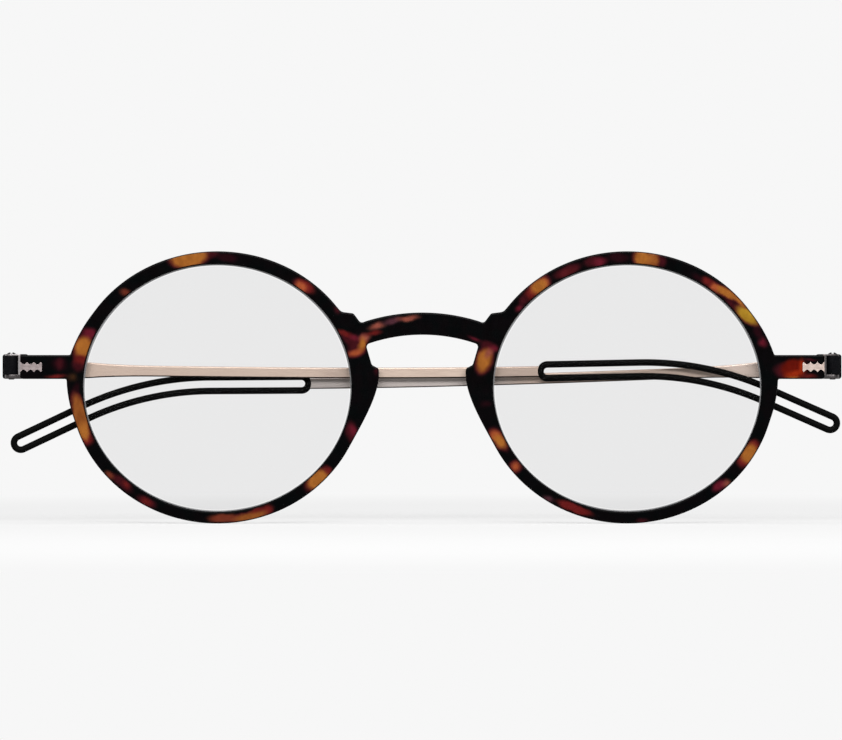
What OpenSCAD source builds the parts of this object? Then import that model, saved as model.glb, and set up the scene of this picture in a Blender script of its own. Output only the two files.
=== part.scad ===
// Round folding computer glasses: a moulded front holds two clear lenses, and two slim steel
// temples end in rubber-coated wire loops. They are drawn folded, one temple behind the other.
// X runs across the front, the front faces -Y and +Z is up.
// The origin is at the middle of the underside of the box that holds the folded glasses.

/* [Lenses] */
// Width of a lens opening
lens_w = 43.9; // [41:0.1:46]
// Height of a lens opening
lens_h = 40.5; // [38:0.1:44]
// Share by which a lens is broader above its middle than below it
fullness = 0.01; // [0:0.005:0.03]
// Distance across the nose between the two lens openings
lens_gap = 23.1; // [21.5:0.1:25]
// Thickness of a lens at its edge
lens_edge = 1; // [0.8:0.05:1.2]
// Bulge of a lens's front face at its middle
lens_front_bulge = 0.45; // [0.1:0.05:0.55]
// Bulge of a lens's back face at its middle
lens_back_bulge = 0.2; // [0.05:0.05:0.5]
// Depth of the groove that holds a lens
groove_depth = 0.45; // [0.3:0.05:0.6]
// Play between a lens and its groove
lens_play = 0.05; // [0.03:0.01:0.1]

/* [Front] */
// Thickness of the moulded front
front_t = 2.2; // [2:0.1:2.8]
// Rim width above a lens
rim_top = 2.1; // [1.8:0.05:2.8]
// Rim width below a lens
rim_bottom = 1.9; // [1.6:0.05:2.6]
// Rim width beside a lens, at the temple
rim_outer = 2.15; // [2:0.05:3]
// Rim width beside a lens, at the nose, without the nose support
rim_inner = 2.15; // [1.8:0.05:2.5]
// Rounding of the outer edges
edge_r = 0.45; // [0.2:0.05:0.45]
// Chamfer of the edges round a lens opening
opening_chamfer = 0.22; // [0.1:0.02:0.3]

/* [Bridge and nose supports] */
// Height of the bridge's upper edge above the lens centres
bridge_top = 12.34; // [11.5:0.1:13]
// Height of the bridge's section
bridge_h = 3.64; // [3:0.1:4.2]
// Radius of the bridge's arch at its middle line
bridge_r = 29; // [26:1:40]
// Half of the distance between the shoulders beside the bridge
shoulder_x = 11.25; // [10.8:0.05:11.6]
// Height of the shoulders above the lens centres
shoulder_z = 12.2; // [11.9:0.05:12.5]
// Half of the distance between the nose supports at their narrowest
nose_half = 7.1; // [6.4:0.05:8]
// Height of the nose supports' narrowest point above the lens centres
nose_peak_z = 2.2; // [1.5:0.1:3]
// How far below the lens centres a nose support runs out into the rim
nose_run_out = 9.9; // [8.5:0.1:11]
// Length over which the rim's line carries on into a nose support
nose_swell = 4.5; // [3.5:0.1:5.5]
// Length over which a nose support stays upright below its narrowest point
nose_flat = 3.5; // [2.5:0.1:4.5]
// Distance outwards from the narrowest point to the corner below the bridge
crook_w = 2.13; // [1.9:0.01:2.3]
// Distance outwards from the narrowest point to the dent above a nose support
dent_w = 1.15; // [0.9:0.05:1.3]
// Height of that dent above the narrowest point
dent_rise = 1.57; // [1.3:0.01:1.8]
// Height of a nose support's upper corner above the narrowest point
brow_rise = 0.97; // [0.8:0.01:1.1]
// Rounding of that corner
brow_r = 0.5; // [0.48:0.01:0.6]
// Width of the notch between the bridge and a shoulder
notch_w = 1.2; // [1.1:0.05:1.3]
// How far the notch dips below the bridge's arch
notch_dip = 0.05; // [0:0.05:0.2]
// Length of the shelf from a shoulder to its rim
shelf_l = 2; // [1.9:0.05:2.2]
// Rise of the shelf
shelf_rise = 0.25; // [0.15:0.05:0.35]
// Rounding of the outline's corners round the bridge
blend_r = 0.6; // [0.5:0.05:0.7]

/* [Lugs] */
// Height of a lug, which carries a hinge
lug_h = 3.92; // [3.7:0.02:4.4]
// Height of a lug's middle line above the lens centres
lug_z = 3.43; // [3:0.05:4]
// Corner rounding at the end of a lug
lug_corner_r = 0.5; // [0.48:0.02:0.7]
// Rounding of the corners between a rim and its lug
lug_blend_r = 0.3; // [0.1:0.05:0.4]
// How far a rim swells outwards at its lug
swell = 0.58; // [0.3:0.02:0.7]
// Height above and below a lug over which its rim swells
swell_l = 7; // [5:0.5:9]

/* [Hinges] */
// Distance between the two hinge axes
hinge_span = 134.4; // [132:0.2:140]
// Width of the square black knuckle
knuckle_w = 2.24; // [2:0.02:2.5]
// Running gap between a knuckle and the metal round it
run_gap = 0.05; // [0.03:0.01:0.08]
// Thickness of the hinge plate's web at the end of the lug
web_t = 0.33; // [0.25:0.01:0.45]
// Thickness of the upper ear
ear_top_t = 0.25; // [0.2:0.01:0.35]
// Thickness of the lower, threaded ear
ear_low_t = 0.68; // [0.5:0.02:0.9]
// Height of a hinge plate over both ears
fork_h = 4.02; // [3.9:0.02:4.3]
// How far a hinge plate's middle lies above the lug's middle
fork_rise = 0.07; // [0:0.01:0.1]
// How far the ears stay inside the knuckle's faces
ear_inset = 0.05; // [0.03:0.01:0.1]
// How deep the hinge plate lies below the front face
plate_sink = 0.05; // [0.03:0.01:0.1]

/* [Scalloped tangs] */
// Length of the tang that is let into the lug
tang_l = 3.55; // [2.4:0.05:4.6]
// Height of the tang at its crests
tang_h = 1.7; // [1.4:0.05:2.2]
// Depth of a scallop
tang_bite = 0.42; // [0.2:0.02:0.5]
// Distance between crests
tang_pitch = 1.12; // [0.9:0.02:1.4]
// Thickness of the tang
tang_t = 0.4; // [0.3:0.02:0.6]
// Play between the tang and its pocket
tang_play = 0.03; // [0.02:0.01:0.06]

/* [Hinge screws] */
// Diameter of the screw's shank
screw_d = 1; // [0.8:0.05:1.2]
// Running clearance on the radius of the shank
screw_play = 0.03; // [0.02:0.01:0.06]
// Diameter of the domed head
head_d = 1.62; // [1.5:0.02:1.9]
// Height of the domed head
head_h = 0.36; // [0.3:0.02:0.5]
// Width of the driver slot
slot_w = 0.4; // [0.25:0.01:0.45]
// Depth of the driver slot
slot_depth = 0.26; // [0.15:0.01:0.3]
// How far the screw's end stands out below the lower ear
screw_stub = 0.12; // [0.05:0.01:0.2]

/* [Temple roots] */
// How far the black collar reaches past the hinge axis, towards the loop
collar_front = 2.66; // [2.5:0.02:3.2]
// How far the black collar reaches past the hinge axis, outwards
collar_back = 1.55; // [1.3:0.01:1.7]
// Thickness of the collar
collar_t = 1.45; // [1.3:0.05:1.6]
// Height of the collar
collar_h = 4.05; // [3.9:0.02:4.3]
// Rounding of the collar's corners
collar_r = 0.45; // [0.2:0.05:0.6]
// Gap between the back of a lug and a collar
collar_gap = 0.15; // [0.1:0.01:0.25]
// Height of the tongue that the collar holds
tongue_h = 1.7; // [1.4:0.05:2]

/* [Temples] */
// Thickness of the steel strip
strip_t = 0.6; // [0.4:0.02:0.7]
// Height of the strip along most of its length
strip_h = 1.76; // [1.4:0.02:2]
// Height of the strip at its root
root_h = 2.6; // [2.2:0.05:3]
// Length of the root before it narrows, from the hinge axis
root_l = 12.5; // [9:0.5:16]
// Length over which the root narrows
taper_l = 15; // [10:0.5:20]
// Height of the strip's middle line above the lens centres, at the collar
temple_z = 2.9; // [2.8:0.05:3.3]
// Angle by which the strip turns up towards its loop
turn_up = 2; // [1.5:0.1:2.5]
// Drop angle of the left temple
lean_left = 0.8; // [0.6:0.05:1.1]
// Drop angle of the right temple
lean_right = 2.35; // [2.1:0.05:2.6]

/* [Rubber loops] */
// Diameter of the rubber coat
coat_d = 1.1; // [0.9:0.02:1.3]
// Distance between the two runs of the loop
loop_pitch = 2.25; // [2:0.05:2.6]
// Diameter of the steel wire inside the coat
core_d = 0.5; // [0.3:0.02:0.6]
// Length of the loop's straight first part
loop_straight = 15; // [12:0.2:18]
// Radius of the bend behind the ear
bend_r = 49; // [44:1:56]
// Angle of the bend behind the ear
bend_angle = 25; // [20:1:30]
// Length of the loop's straight last part
tip_straight = 11.5; // [9:0.1:14]
// How far the folded left temple's tip reaches past the right hinge's axis
reach_left = 1.1; // [0:0.02:1.5]
// How far the folded right temple's tip reaches past the left hinge's axis
reach_right = 0.42; // [0:0.02:1.5]
// Gap between what lies one behind the other when folded
stack_gap = 0.3; // [0.25:0.01:0.5]

/* [Hidden] */

// Overshoot of a cut past the face that it opens
over = 0.01;
// Facets of small round shapes, and of the rubber coat and the wire in it
round_sides = 64;
bore_sides = 48;
coat_sides = 16;
core_sides = 8;
// Points round a lens opening, and along each free stretch of a rim
opening_points = 72;
rim_points = 24;
// Steps along half an edge of the arch, and down to a nose support's narrowest point
arch_steps = 4;
nose_steps = 7;
// Steps round a loop's end and along its bend behind the ear
turn_steps = 12;
bend_steps = 6;
// Angle of rim that its blend into a lug may take up
rim_lead = 3;
// Angle on a lens opening, from its outer end, where the flat face's triangles start, and the share
// of a step by which the opening's points may lag behind the rim's
seam_angle = 205;
seam_lag = 0.6;

// A lens's centre, and its rim's outer ellipse as centre and half axes
lens_x = (lens_gap + lens_w) / 2;
rim_x = lens_x + (rim_outer - rim_inner) / 2;
rim_z = (rim_top - rim_bottom) / 2;
rim_a = (lens_w + rim_outer + rim_inner) / 2;
rim_b = (lens_h + rim_top + rim_bottom) / 2;

// The bridge's arch: the radii of its two edges and the height of their centre
arch_top_r = bridge_r + bridge_h / 2;
arch_low_r = bridge_r - bridge_h / 2;
arch_z = bridge_top - arch_top_r;

// The hinge, across and in height
knuckle_half = knuckle_w / 2;
hinge_x = hinge_span / 2;
web_in = knuckle_half + run_gap;
web_out = web_in + web_t;
lug_end = hinge_x - web_out;
lug_top = lug_z + lug_h / 2;
lug_low = lug_z - lug_h / 2;
fork_low = lug_z + fork_rise - fork_h / 2;
fork_top = fork_low + fork_h;
gap_low = fork_low + ear_low_t;
gap_top = fork_top - ear_top_t;

// Depth: the left temple lies just behind the front, and the right one just behind the left
left_plane = front_t + stack_gap + coat_d / 2;
plane_step = coat_d + stack_gap;
left_axis_y = plate_sink + knuckle_half;
right_axis_y = left_axis_y + plane_step;
arm_offset = left_plane - left_axis_y;
collar_y = front_t + collar_gap - left_axis_y;
depth = right_axis_y + collar_y + collar_t;
height_below = rim_b - rim_z;

// A temple is given as its drop angle and the place of its loop's first bend, which lies where a
// temple of this shape ends beside the other hinge
loop_r = loop_pitch / 2;
function temple(lean, reach) = [lean, hinge_span + reach - loop_straight
    - bend_r * sin(bend_angle) - tip_straight * cos(bend_angle) - loop_r - coat_d / 2];
left_temple = temple(lean_left, reach_left);
right_temple = temple(lean_right, reach_right);

// The strip's outline changes at the collar, along its taper and on the long run to the loop.
// It ends inside the coat of the loop's first bend.
bend_share = 0.95;
taper_end = root_l + taper_l;
function strip_x(temple) =
    let(rest = temple[1] - bend_share * loop_r - taper_end)
    concat(
        [collar_front, root_l],
        [for (i = [1:7]) root_l + taper_l * i / 7],
        [for (i = [1:10]) taper_end + rest * i / 10]
    );

// Points of an arc about c, from angle a to angle b
function arc(c, r, a, b, steps) =
    [for (i = [0:steps]) let(t = a + (b - a) * i / steps) c + r * [cos(t), sin(t)]];

// Points of a cubic curve with end points p and s, and handles q and r
function curve(p, q, r, s, steps) =
    [for (i = [0:steps]) let(t = i / steps, u = 1 - t)
        u * u * u * p + 3 * u * u * t * q + 3 * u * t * t * r + t * t * t * s];

// Points of the fillet of radius r at corner b, between the directions to a and c
function fillet(a, b, c, r, steps = 3) =
    let(u = (a - b) / norm(a - b), v = (c - b) / norm(c - b), half = acos(u * v) / 2)
    let(m = b + (u + v) / norm(u + v) * r / sin(half))
    let(p = b + u * r / tan(half) - m, q = b + v * r / tan(half) - m)
    let(from = atan2(p[1], p[0]), turn = atan2(q[1], q[0]) - from)
    let(sweep = turn > 180 ? turn - 360 : turn < -180 ? turn + 360 : turn)
    arc(m, r, from, from + sweep, steps);

// A closed clockwise outline moved inwards by d, each edge parallel to itself
function inset(points, d) =
    let(n = len(points))
    [for (i = [0:n - 1])
        let(e = points[i] - points[(i + n - 1) % n], f = points[(i + 1) % n] - points[i])
        let(u = [e[1], -e[0]] / norm(e), v = [f[1], -f[0]] / norm(f))
        points[i] + d * (u + v) / (1 + u * v)];

// A solid through outlines of equal length, each given as [depth, clockwise points]
module loft(rings) {
    n = len(rings[0][1]);
    last = len(rings) - 1;
    polyhedron(
        points = [for (ring = rings) for (p = ring[1]) [p[0], ring[0], p[1]]],
        faces = concat(
            [[for (i = [0:n - 1]) i]],
            [for (k = [0:last - 1]) for (i = [0:n - 1]) let(j = (i + 1) % n)
                [k * n + i, (k + 1) * n + i, (k + 1) * n + j, k * n + j]],
            [[for (i = [n - 1:-1:0]) last * n + i]]
        )
    );
}

// Turns a drawing in X and Z into a plate that starts at depth y
module upright(y, t) {
    translate([0, y + t, 0]) rotate([90, 0, 0]) linear_extrude(t) children();
}

// Moves lens-centre coordinates to the part's origin
module placed() {
    translate([0, -depth / 2, height_below]) children();
}

// Puts a left-hand hinge part, drawn about the hinge axis with +X towards the nose, in its place
module at_hinge(side, axis_y) {
    placed() mirror([side > 0 ? 1 : 0, 0, 0]) translate([-hinge_x, axis_y, 0]) children();
}

// Point of a rim's outer edge by its angle, and the angle that lies at height z beside the lug
function on_rim(t) =
    let(z = rim_z + rim_b * sin(t), off = max(z - lug_top, lug_low - z))
    [rim_x + rim_a * full(t) + swell * (cos(t) > 0 ? max(0, 1 - off / swell_l) : 0), z];
function full(t) = cos(t) * (1 + fullness * sin(t));
function rim_angle_at(z) = asin((z - rim_z) / rim_b);

// Point of one of the arch's edges at distance x from the middle
function on_arch(x, r) = [x, arch_z + sqrt(r * r - x * x)];

// Right half of the front's outline, clockwise from the bridge's top to its underside, in five
// parts: the bridge's top, the upper rim, the lug, the lower rim with its nose support, and the
// bridge's underside. The two bridge parts have equally many points.
function half_parts() =
    let(lead = 1.5 * blend_r)
    let(notch = on_arch(shoulder_x - notch_w, arch_top_r) - [0, notch_dip])
    let(before = on_arch(notch[0] - lead, arch_top_r))
    let(step = [shoulder_x, shoulder_z], shelf = step + [shelf_l, shelf_rise])
    let(a_shelf = 180 - acos((rim_x - shelf[0] - lead) / rim_a))
    let(a_top = rim_angle_at(lug_top), a_low = rim_angle_at(lug_low))
    let(a_nose = -180 + asin((nose_run_out + rim_z) / rim_b))
    let(run_out = on_rim(a_nose), tangent = on_rim(a_nose - 1) - run_out)
    let(flow = tangent / norm(tangent), peak = [nose_half, nose_peak_z])
    let(brow = peak + [0, brow_rise], dent = peak + [dent_w, dent_rise])
    let(crook = on_arch(nose_half + crook_w, arch_low_r))
    let(after = on_arch(crook[0] - lead, arch_low_r))
    [
        concat(
            arc([0, arch_z], arch_top_r, 90, acos(before[0] / arch_top_r), arch_steps),
            fillet(before, notch, step, blend_r)
        ),
        concat(
            fillet(notch, step, shelf, blend_r),
            fillet(step, shelf, on_rim(a_shelf), 2 * blend_r),
            [for (i = [0:rim_points])
                on_rim(a_shelf + (a_top + rim_lead - a_shelf) * i / rim_points)]
        ),
        concat(
            fillet(on_rim(a_top + rim_lead), on_rim(a_top), [lug_end, lug_top], lug_blend_r),
            fillet([rim_x, lug_top], [lug_end, lug_top], [lug_end, lug_low], lug_corner_r),
            fillet([lug_end, lug_top], [lug_end, lug_low], [rim_x, lug_low], lug_corner_r),
            fillet([lug_end, lug_low], on_rim(a_low), on_rim(a_low - rim_lead), lug_blend_r)
        ),
        concat(
            [for (i = [0:rim_points])
                on_rim(a_low - rim_lead + (a_nose - a_low + rim_lead) * i / rim_points)],
            slice(curve(run_out, run_out + nose_swell * flow, peak - [0, nose_flat], peak,
                nose_steps), 1),
            fillet(peak, brow, dent, brow_r),
            fillet(brow, dent, crook, blend_r)
        ),
        concat(
            fillet(dent, crook, after, blend_r),
            arc([0, arch_z], arch_low_r, acos(after[0] / arch_low_r), 90, arch_steps)
        )
    ];

// The points from number first on
function slice(points, first) = [for (i = [first:len(points) - 1]) points[i]];

// A lens opening's edge, clockwise from its outer end
function opening() =
    [for (i = [0:opening_points - 1]) let(t = -360 * i / opening_points)
        [lens_x + lens_w / 2 * full(t), lens_h / 2 * sin(t)]];

// Triangles between an open chain of points and the closed ring inside it, both clockwise and both
// given as indices. Whichever lags in its turn about the lens's centre takes its next point.
function between(chain, points, ring) =
    let(m = len(chain) - 1, n = len(ring), c = [lens_x, 0], from = points[0] - c)
    let(share = [for (p = points) let(q = p - c)
        let(a = atan2(from[1], from[0]) - atan2(q[1], q[0])) (a < -0.01 ? a + 360 : a) / 360])
    [for (i = 0, j = 0, out = false; i < m || j < n;
            i = out ? i + 1 : i, j = out ? j : j + 1,
            out = i < m && (j == n || share[i + 1] <= (j + seam_lag) / n))
        out ? [chain[i], chain[i + 1], ring[j % n]] : [chain[i], ring[(j + 1) % n], ring[j % n]]];

// The moulded front as one closed shape. Its rings run from the front face to the back, first
// those of the outer edge, then those of the right opening and those of the left one.
module moulding() {
    parts = half_parts();
    half = [for (part = parts) for (p = part) p];
    h = len(half);
    n = 2 * h - 2;
    outline = concat(half, [for (i = [h - 2:-1:1]) [-half[i][0], half[i][1]]]);
    rounding = [for (a = [90:-30:0])
        [edge_r * (1 - sin(a)), inset(outline, edge_r * (1 - cos(a)))]];
    outer = concat(rounding,
        [for (i = [len(rounding) - 1:-1:0]) [front_t - rounding[i][0], rounding[i][1]]]);
    edge = opening();
    m = opening_points;
    wide = inset(edge, -opening_chamfer);
    half_groove = lens_edge / 2 + lens_play;
    inner = [
        [0, wide], [opening_chamfer, edge], [front_t / 2 - half_groove, edge],
        [front_t / 2, inset(edge, -groove_depth)],
        [front_t / 2 + half_groove, edge], [front_t - opening_chamfer, edge], [front_t, wide]
    ];
    k = len(outer);
    l = len(inner);
    // The right half of a flat face: the bridge and the lug in quads, the rim in triangles
    b = len(parts[0]);
    lug = b + len(parts[1]);
    end = lug + len(parts[2]) - 1;
    first = floor(m * seam_angle / 360);
    chain = concat([for (i = [b - 1:lug]) i], [for (i = [end:h - b]) i]);
    ring = [for (j = [0:m - 1]) k * n + (first + j) % m];
    flat = concat(
        [for (i = [0:b - 2]) [i, i + 1, h - 2 - i, h - 1 - i]],
        [for (i = [0:(end - lug - 1) / 2 - 1]) [lug + i, lug + i + 1, end - i - 1, end - i]],
        between(chain, [for (i = chain) outer[0][1][i]], ring),
        [[h - b, b - 1, ring[0]]]
    );
    to_back = function(v) v < k * n ? v + (k - 1) * n : v + (l - 1) * m;
    back = [for (f = flat) [for (i = [len(f) - 1:-1:0]) to_back(f[i])]];
    wall = [for (g = [0:l - 2]) for (i = [0:m - 1]) let(j = (i + 1) % m, o = k * n + g * m)
        [o + i, o + j, o + m + j, o + m + i]];
    right = concat(flat, back, wall);
    to_left = function(v) v < k * n ? v - v % n + (n - v % n) % n : v + l * m;
    left = [for (f = right) [for (i = [len(f) - 1:-1:0]) to_left(f[i])]];
    rim = [for (g = [0:k - 2]) for (i = [0:n - 1]) let(j = (i + 1) % n, o = g * n)
        [o + i, o + n + i, o + n + j, o + j]];
    polyhedron(
        points = concat(
            [for (r = outer) for (p = r[1]) [p[0], r[0], p[1]]],
            [for (r = inner) for (p = r[1]) [p[0], r[0], p[1]]],
            [for (r = inner) for (p = r[1]) [-p[0], r[0], p[1]]]
        ),
        faces = concat(rim, right, left)
    );
}

// Scalloped outline of the tang, from the web inwards, grown by its play in the pocket
module tang_outline(play = 0) {
    steps = 8 * ceil(tang_l / tang_pitch);
    reach = tang_l + play;
    edge = [for (i = [0:steps]) let(s = reach * i / steps)
        [s, tang_h / 2 + play - tang_bite * sin(180 * (s / tang_pitch - floor(s / tang_pitch)))]];
    polygon(concat(edge, [for (i = [steps:-1:0]) [edge[i][0], -edge[i][1]]]));
}

module front_frame() {
    color("#3a1c12")
    placed() difference() {
        moulding();
        for (side = [0, 1]) mirror([side, 0, 0])
            translate([-lug_end - over, 0, lug_z]) upright(-over, plate_sink + tang_t + tang_play)
                tang_outline(tang_play);
    }
}

// A lens with two domed faces and a bevelled edge that sits in the groove
module lens(side) {
    x = side * lens_x;
    mid = front_t / 2;
    seat = [for (p = inset(opening(), lens_play)) [p[0] - lens_x + x, p[1]]];
    middle = [for (i = [0:opening_points - 1]) [x, 0]];
    // Share of the lens's half width at which each dome ring lies
    shares = [0.12, 0.45, 0.75, 1];
    color("#dfe6e6", 0.45)
    placed() loft(concat(
        [for (s = shares) [mid - lens_edge / 2 - lens_front_bulge * (1 - s * s),
            middle + s * (seat - middle)]],
        [[mid, inset(seat, -groove_depth + lens_play)]],
        [for (i = [len(shares) - 1:-1:0]) let(s = shares[i])
            [mid + lens_edge / 2 + lens_back_bulge * (1 - s * s), middle + s * (seat - middle)]]
    ));
}

// Metal fork at the end of the lug, with a scalloped tang let into the lug's front.
// The screw is tight in the lower ear and free in the upper one.
module hinge_plate(side, axis_y) {
    front_y = plate_sink - axis_y;
    ear_y = knuckle_half - ear_inset;
    bore_d = screw_d + 2 * screw_play;
    color("#c3b1a7")
    at_hinge(side, axis_y) {
        translate([web_in, 0, lug_z]) upright(front_y, tang_t) tang_outline_from_web();
        difference() {
            union() {
                translate([web_in, front_y, fork_low]) cube([web_t, ear_y - front_y, fork_h]);
                ear(fork_low, ear_low_t, ear_y);
                ear(gap_top, ear_top_t, ear_y);
            }
            translate([0, 0, fork_low - over])
                cylinder(h = fork_h, d = screw_d, $fn = bore_sides);
            translate([0, 0, gap_top - over])
                cylinder(h = ear_top_t + 2 * over, d = bore_d, $fn = bore_sides);
        }
    }
}

// The tang with the short neck that joins it to the web
module tang_outline_from_web() {
    translate([web_t, 0]) tang_outline();
    translate([0, -tang_h / 2]) square([web_t, tang_h]);
}

// One ear of the fork: round at the outside, straight to the web
module ear(z, t, half) {
    translate([0, 0, z]) linear_extrude(t) {
        circle(half, $fn = round_sides);
        translate([0, -half]) square([web_out, 2 * half]);
    }
}

// Slotted screw with a domed head, which is the hinge's pin
module hinge_screw(side, axis_y) {
    dome_r = (pow(head_d / 2, 2) + pow(head_h, 2)) / (2 * head_h);
    color("#a89a90")
    at_hinge(side, axis_y) difference() {
        union() {
            translate([0, 0, fork_low - screw_stub])
                cylinder(h = fork_h + screw_stub + over, d = screw_d, $fn = bore_sides);
            intersection() {
                translate([0, 0, fork_top]) cylinder(h = head_h, d = head_d, $fn = bore_sides);
                translate([0, 0, fork_top + head_h - dome_r]) sphere(dome_r, $fn = round_sides);
            }
        }
        translate([-slot_w / 2, -head_d, fork_top + head_h - slot_depth])
            cube([slot_w, 2 * head_d, head_h]);
    }
}

// Drawing of a rectangle with rounded corners, from its lower left corner
module rounded(size, r) {
    a = [0, 0];
    b = [0, size[1]];
    c = size;
    d = [size[0], 0];
    polygon(concat(fillet(d, a, b, r), fillet(a, b, c, r), fillet(b, c, d, r), fillet(c, d, a, r)));
}

// Black knuckle on the screw, with the collar behind the lug that holds the steel strip.
// Its corner at the web is round about the axis, and its flat front stops the temple when open.
module knuckle(side, axis_y) {
    k = knuckle_half;
    low = gap_low + run_gap;
    high = gap_top - run_gap;
    color("#17171a")
    at_hinge(side, axis_y) difference() {
        union() {
            translate([0, 0, low]) linear_extrude(high - low) {
                circle(k, $fn = round_sides);
                translate([-k, -k]) square([k, k + collar_y + over]);
                translate([-over, 0]) square([k + over, collar_y + over]);
            }
            translate([-collar_back, 0, fork_low]) upright(collar_y, collar_t)
                rounded([collar_front + collar_back, collar_h], collar_r);
        }
        translate([0, 0, low - over])
            cylinder(h = high - low + 2 * over, d = screw_d + 2 * screw_play, $fn = bore_sides);
        tongue();
    }
}

// Half the strip's height at distance x from the hinge axis
function half_height(x) =
    x < root_l ? root_h / 2
    : x > taper_end ? strip_h / 2
    : (strip_h + (root_h - strip_h) * pow((taper_end - x) / taper_l, 3)) / 2;

// Height of the strip's middle line at distance x: level in the root, then dropping and turning up
function middle(x, temple) =
    let(l = temple[1] - root_l, t = max(0, x - root_l) / l)
    l * (tan(turn_up) * pow(t, 3) / 3 - tan(temple[0]) * t);

// The part of the strip that the collar holds
module tongue() {
    translate([0, arm_offset - strip_t / 2, temple_z - tongue_h / 2])
        cube([collar_front + over, strip_t, tongue_h]);
}

// The steel of a temple: a tongue, the bowed strip and the wire loop
module steel(temple) {
    xs = strip_x(temple);
    n = len(xs);
    tongue();
    translate([0, arm_offset - strip_t / 2, temple_z]) upright(0, strip_t)
        polygon(concat(
            [for (x = xs) [x, middle(x, temple) + half_height(x)]],
            [for (i = [n - 1:-1:0]) [xs[i], middle(xs[i], temple) - half_height(xs[i])]]
        ));
    loop(temple, core_d, core_sides);
}

// Stations along a bend of the loop: each is a point and the angle at which the loop faces outwards
function bend(c, r, a, b, steps) =
    [for (i = [0:steps]) let(t = a + (b - a) * i / steps) [c + r * [cos(t), sin(t)], t]];

// The closed loop of wire, or the rubber round it, swept clockwise through the strip's end, the
// bend behind the ear and the tip. It slopes as the strip ends.
module loop(temple, d, sides) {
    start = temple[1];
    slope = atan(tan(temple[0]) - tan(turn_up));
    ear = [loop_straight, -bend_r];
    tip_a = 90 - bend_angle;
    tip = ear + bend_r * [cos(tip_a), sin(tip_a)] + tip_straight * [sin(tip_a), -cos(tip_a)];
    path = concat(
        bend([0, 0], loop_r, 270, 90, turn_steps),
        bend(ear, bend_r + loop_r, 90, tip_a, bend_steps),
        bend(tip, loop_r, tip_a, tip_a - 180, turn_steps),
        bend(ear, loop_r - bend_r, tip_a - 180, -90, bend_steps)
    );
    n = len(path);
    translate([start, arm_offset, temple_z + middle(start, temple)]) rotate([0, slope, 0])
        polyhedron(
            points = [for (s = path) for (j = [0:sides - 1])
                let(t = 360 * (j + 0.5) / sides, r = d / 2 * cos(t))
                [s[0][0] + r * cos(s[1]), d / 2 * sin(t), s[0][1] + r * sin(s[1])]],
            faces = [for (k = [0:n - 1]) for (j = [0:sides - 1])
                let(m = (k + 1) % n, i = (j + 1) % sides)
                [k * sides + j, k * sides + i, m * sides + i, m * sides + j]]
        );
}

module temple_arm(side, axis_y, temple) {
    color("#c9b3a2") at_hinge(side, axis_y) steel(temple);
}

module temple_tip(side, axis_y, temple) {
    color("#101012") at_hinge(side, axis_y) difference() {
        loop(temple, coat_d, coat_sides);
        steel(temple);
    }
}

front_frame();
lens(-1);  // lens_left
lens(1);  // lens_right
hinge_plate(-1, left_axis_y);  // hinge_plate_left
hinge_plate(1, right_axis_y);  // hinge_plate_right
hinge_screw(-1, left_axis_y);  // hinge_screw_left
hinge_screw(1, right_axis_y);  // hinge_screw_right
knuckle(-1, left_axis_y);  // knuckle_left
knuckle(1, right_axis_y);  // knuckle_right
temple_arm(-1, left_axis_y, left_temple);  // temple_arm_left
temple_arm(1, right_axis_y, right_temple);  // temple_arm_right
temple_tip(-1, left_axis_y, left_temple);  // temple_tip_left
temple_tip(1, right_axis_y, right_temple);  // temple_tip_right
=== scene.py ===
"""Folding computer glasses: a tortoiseshell front, clear lenses, steel temples and rubber loops.

Pieces are modelled in millimetres about the middle between the lenses on the front plane, and
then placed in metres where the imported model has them.
"""
import math

import bmesh
import bpy
from mathutils import Matrix, Vector


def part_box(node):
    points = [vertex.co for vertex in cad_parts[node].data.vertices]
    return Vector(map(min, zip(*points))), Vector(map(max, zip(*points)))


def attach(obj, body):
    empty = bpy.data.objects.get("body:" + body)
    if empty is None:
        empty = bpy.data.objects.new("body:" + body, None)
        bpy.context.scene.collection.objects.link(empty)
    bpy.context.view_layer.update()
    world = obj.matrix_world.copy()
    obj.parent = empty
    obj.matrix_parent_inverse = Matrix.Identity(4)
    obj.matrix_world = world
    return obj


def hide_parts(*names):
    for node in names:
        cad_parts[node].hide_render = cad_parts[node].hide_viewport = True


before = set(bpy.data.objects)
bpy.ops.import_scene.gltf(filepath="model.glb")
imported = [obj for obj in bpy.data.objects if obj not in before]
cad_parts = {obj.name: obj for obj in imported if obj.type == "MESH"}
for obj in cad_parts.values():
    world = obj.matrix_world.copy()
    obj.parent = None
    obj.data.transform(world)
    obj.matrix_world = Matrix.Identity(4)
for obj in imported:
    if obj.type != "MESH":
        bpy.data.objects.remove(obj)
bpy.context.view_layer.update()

MM = 0.001
TINY = 0.0005
BODY_OF_SIDE = {-1: "left_temple", 1: "right_temple"}
SIDE_NAME = {-1: "left", 1: "right"}

# The front plane and the height of the lens centres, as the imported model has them
front_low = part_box("front_frame")[0]
lens_low, lens_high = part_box("lens_left")
FRONT_Y = front_low[1]
LENS_Z = (lens_low[2] + lens_high[2]) / 2
TO_FRAME = Matrix.Translation((0, FRONT_Y, LENS_Z)) @ Matrix.Scale(MM, 4)

# How far a cutting tool reaches past what it cuts, and what counts as an edge or stays sharp
PAST, EDGE_ANGLE, SHARP_ANGLE = 0.1, math.radians(30), math.radians(35)
# How finely round pieces are divided
ROUND_SIDES, OPENING_SIDES, LENS_SIDES, DOME_RINGS, TANG_STEPS = 48, 192, 128, 12, 48
COAT_SIDES, LOOP_STEPS, BEND_STEPS, TAPER_STEPS, STRIP_STEPS = 32, 32, 24, 14, 20

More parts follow.
